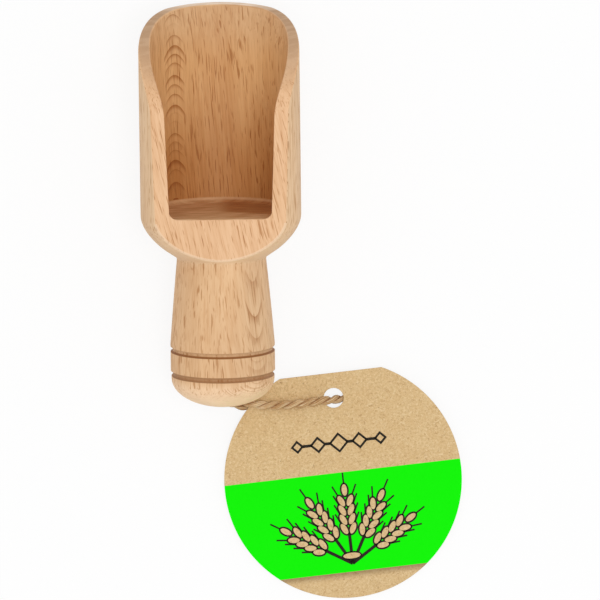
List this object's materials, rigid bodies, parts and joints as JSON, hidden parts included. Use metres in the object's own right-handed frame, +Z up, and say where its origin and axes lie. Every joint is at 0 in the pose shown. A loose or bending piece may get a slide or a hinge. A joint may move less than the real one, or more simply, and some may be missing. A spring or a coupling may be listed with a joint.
{
  "type": "flour scoop",
  "caption": "Turned beech flour scoop with a round open bowl and a short grooved handle, and a round card tag on a loop of jute twine at the handle's end.",
  "frame": {"origin": "on the table, under the middle of the scoop's length as it lies on its back", "axes": "+Y along the scoop's length towards the lip, +Z up, +X to the right seen from above with the lip away from the viewer"},
  "size_m": [0.0987, 0.1859, 0.0427],
  "materials": {
    "beech": "sanded, unvarnished beech",
    "jute_twine": "two-ply natural jute",
    "kraft_card": "uncoated brown kraft card with a printed green band"
  },
  "bodies": {
    "scoop": {"scoop_body": "beech"},
    "twine": {"twine_loop": "jute_twine"},
    "tag": {"tag_card": "kraft_card"}
  },
  "joints": [
    {"name": "twine_swing", "type": "hinge", "parent": "scoop", "child": "twine", "pos_m": [0, -0.05968, 0.00603], "axis": [0, 0, 1], "range_deg": [-110, 0], "deforming": ["twine_loop"]},
    {"name": "tag_turn", "type": "hinge", "parent": "twine", "child": "tag", "pos_m": [0.0342, -0.06058, 0.0029], "axis": [0.0047, -0.0445, 0.999], "range_deg": [0, 100]}
  ]
}
